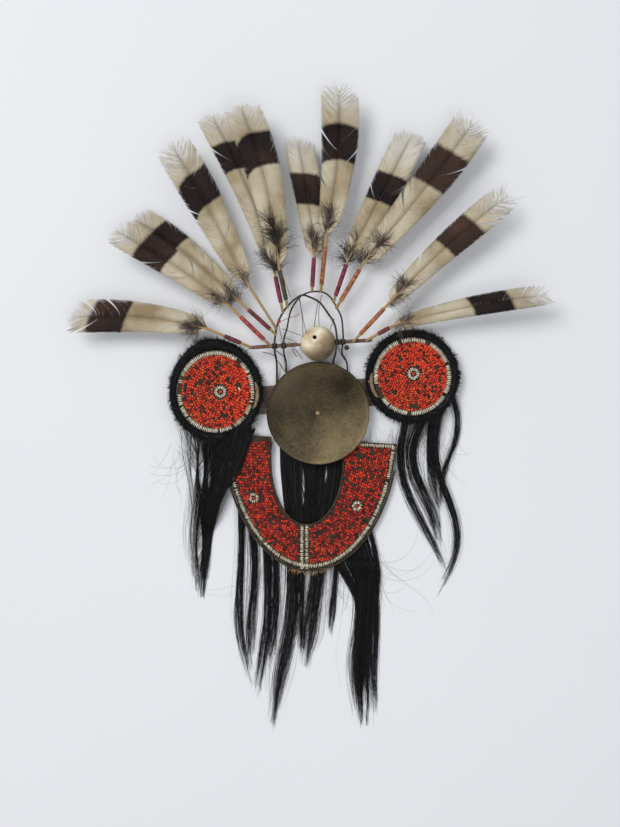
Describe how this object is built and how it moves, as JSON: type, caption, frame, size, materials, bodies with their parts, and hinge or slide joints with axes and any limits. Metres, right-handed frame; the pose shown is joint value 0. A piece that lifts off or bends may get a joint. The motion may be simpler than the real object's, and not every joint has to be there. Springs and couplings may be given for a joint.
{
  "type": "feathered headdress",
  "caption": "Dance headdress lying flat: fan of barred feathers over a brass disc, seeded ear discs with black hair, and a U-shaped seeded bib with a hair fringe.",
  "frame": {"origin": "middle of the hide band's underside, on the surface that the headdress lies on", "axes": "+Z out of the front face, +Y to the top of the feather crown, +X to the viewer's right"},
  "size_m": [0.8715, 1.153, 0.0667],
  "materials": {
    "hide": "dull",
    "brass": "aged",
    "cane_knot": "dull",
    "shell": "satin",
    "bound_cane": "dull",
    "dark_cane": "satin",
    "red_seeds": "gloss",
    "black_hair": "sheen",
    "twisted_cord": "dull",
    "feather": "matt",
    "thread": "matt"
  },
  "bodies": {
    "root": {"head_band": "hide", "brass_disc": "brass", "disc_knot": "cane_knot", "shell_ball": "shell", "cross_rod": "bound_cane", "hoop_front": "dark_cane", "hoop_back": "dark_cane", "ear_disc_left": "red_seeds", "ear_disc_right": "red_seeds", "ear_hair_left": "black_hair", "ear_hair_right": "black_hair", "bib": "red_seeds", "bib_cord": "twisted_cord", "hair_fringe": "black_hair", "back_hair": "black_hair", "feather_1": "feather", "feather_2_front": "feather", "feather_2_back": "feather", "feather_3": "feather", "feather_4_front": "feather", "feather_4_back": "feather", "feather_5_back": "feather", "feather_5_front": "feather", "feather_6": "feather", "feather_7": "feather", "feather_8": "feather", "feather_9": "feather", "quill_wrap_1": "thread", "quill_wrap_2_front": "thread", "quill_wrap_2_back": "thread", "quill_wrap_4_front": "thread", "quill_wrap_4_back": "thread", "quill_wrap_5_back": "thread", "quill_wrap_5_front": "thread", "quill_wrap_6": "thread", "quill_wrap_7": "thread", "quill_wrap_8": "thread", "quill_wrap_9": "thread"}
  },
  "joints": []
}
